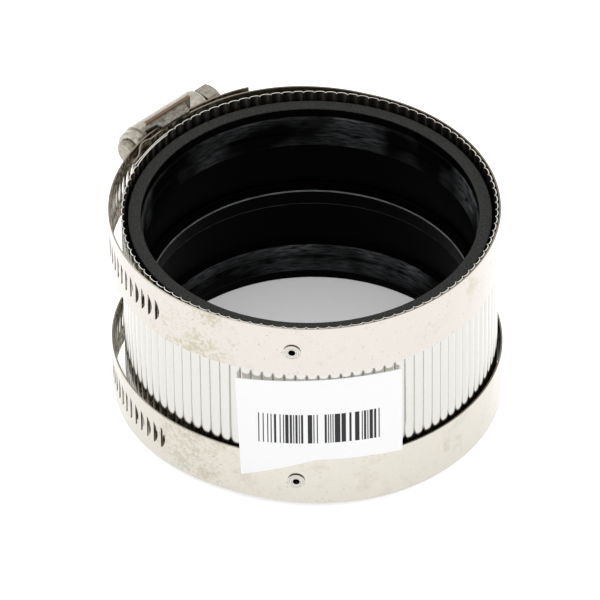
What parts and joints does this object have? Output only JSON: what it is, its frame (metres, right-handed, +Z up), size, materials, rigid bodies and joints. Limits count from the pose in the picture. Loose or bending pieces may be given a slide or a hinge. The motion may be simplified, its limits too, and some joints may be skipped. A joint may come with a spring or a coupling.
{
  "type": "no hub pipe coupling",
  "caption": "Rubber sleeve in a corrugated steel shield, held by slotted bands with worm screw clamps, joining plain pipe ends.",
  "frame": {"origin": "centre of the lower mouth, on the coupling's axis, in the plane it stands on", "axes": "+Z up along the coupling's axis, out of the upper mouth; -Y faces the front, where the label and the eyelets are"},
  "size_m": [0.0958, 0.1012, 0.0573],
  "materials": {
    "rubber": "moulded black rubber, satin",
    "shield_steel": "bright rolled stainless",
    "band_steel": "satin stainless strip",
    "clamp_steel": "pressed stainless, dull",
    "screw_steel": "cold headed stainless, dull",
    "eyelet_steel": "rolled stainless",
    "paper": "white paper sticker"
  },
  "bodies": {
    "coupling": {"gasket": "rubber", "shield": "shield_steel", "upper_band": "band_steel", "lower_band": "band_steel", "upper_saddle": "clamp_steel", "lower_saddle": "clamp_steel", "upper_cover": "clamp_steel", "lower_cover": "clamp_steel", "upper_eyelet": "eyelet_steel", "lower_eyelet": "eyelet_steel", "label": "paper"},
    "upper_screw": {"upper_screw": "screw_steel"},
    "lower_screw": {"lower_screw": "screw_steel"}
  },
  "joints": [
    {"name": "upper_screw_turn", "type": "hinge", "parent": "coupling", "child": "upper_screw", "pos_m": [-0.03728, 0.03767, 0.049], "axis": [0.7108, 0.7034, 0], "continuous": true},
    {"name": "lower_screw_turn", "type": "hinge", "parent": "coupling", "child": "lower_screw", "pos_m": [-0.03728, 0.03767, 0.0088], "axis": [0.7108, 0.7034, 0], "continuous": true}
  ]
}
